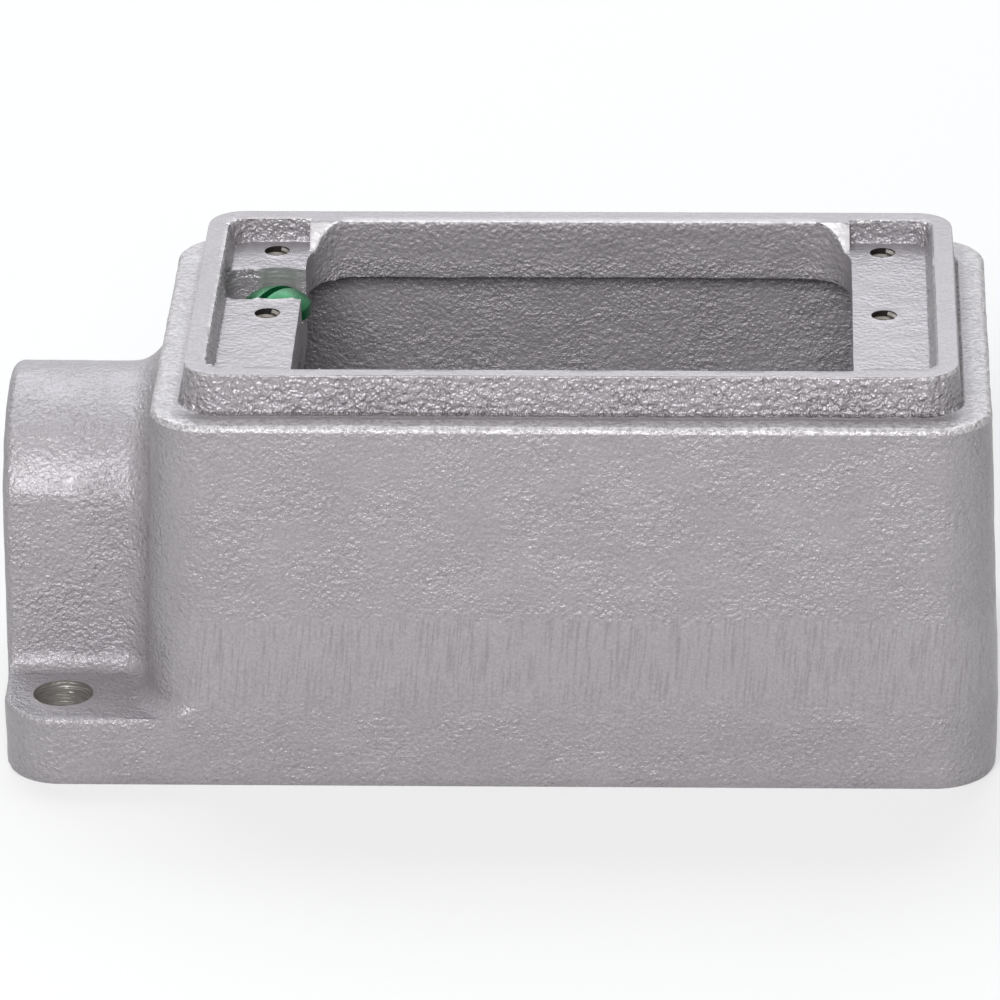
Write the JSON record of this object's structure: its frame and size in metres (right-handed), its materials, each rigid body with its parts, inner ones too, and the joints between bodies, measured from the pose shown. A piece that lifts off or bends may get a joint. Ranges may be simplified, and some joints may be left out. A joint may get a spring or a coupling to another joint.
{
  "type": "cast device box",
  "caption": "Deep cast-iron wiring device box with a rimmed cover opening, tapped pads, a threaded conduit hub, mounting lugs and a green ground screw.",
  "frame": {"origin": "middle of the wiring device, on the plane of the box's back", "axes": "+X along the box away from the conduit hub, +Z out of the cover opening, +Y toward the ground screw's side"},
  "size_m": [0.1342, 0.07, 0.0575],
  "materials": {
    "lacquered_casting": "silver-grey lacquer on a sand-cast skin",
    "green_screw": "green dyed satin"
  },
  "bodies": {
    "root": {"cast_body": "lacquered_casting", "ground_screw": "green_screw"}
  },
  "joints": []
}
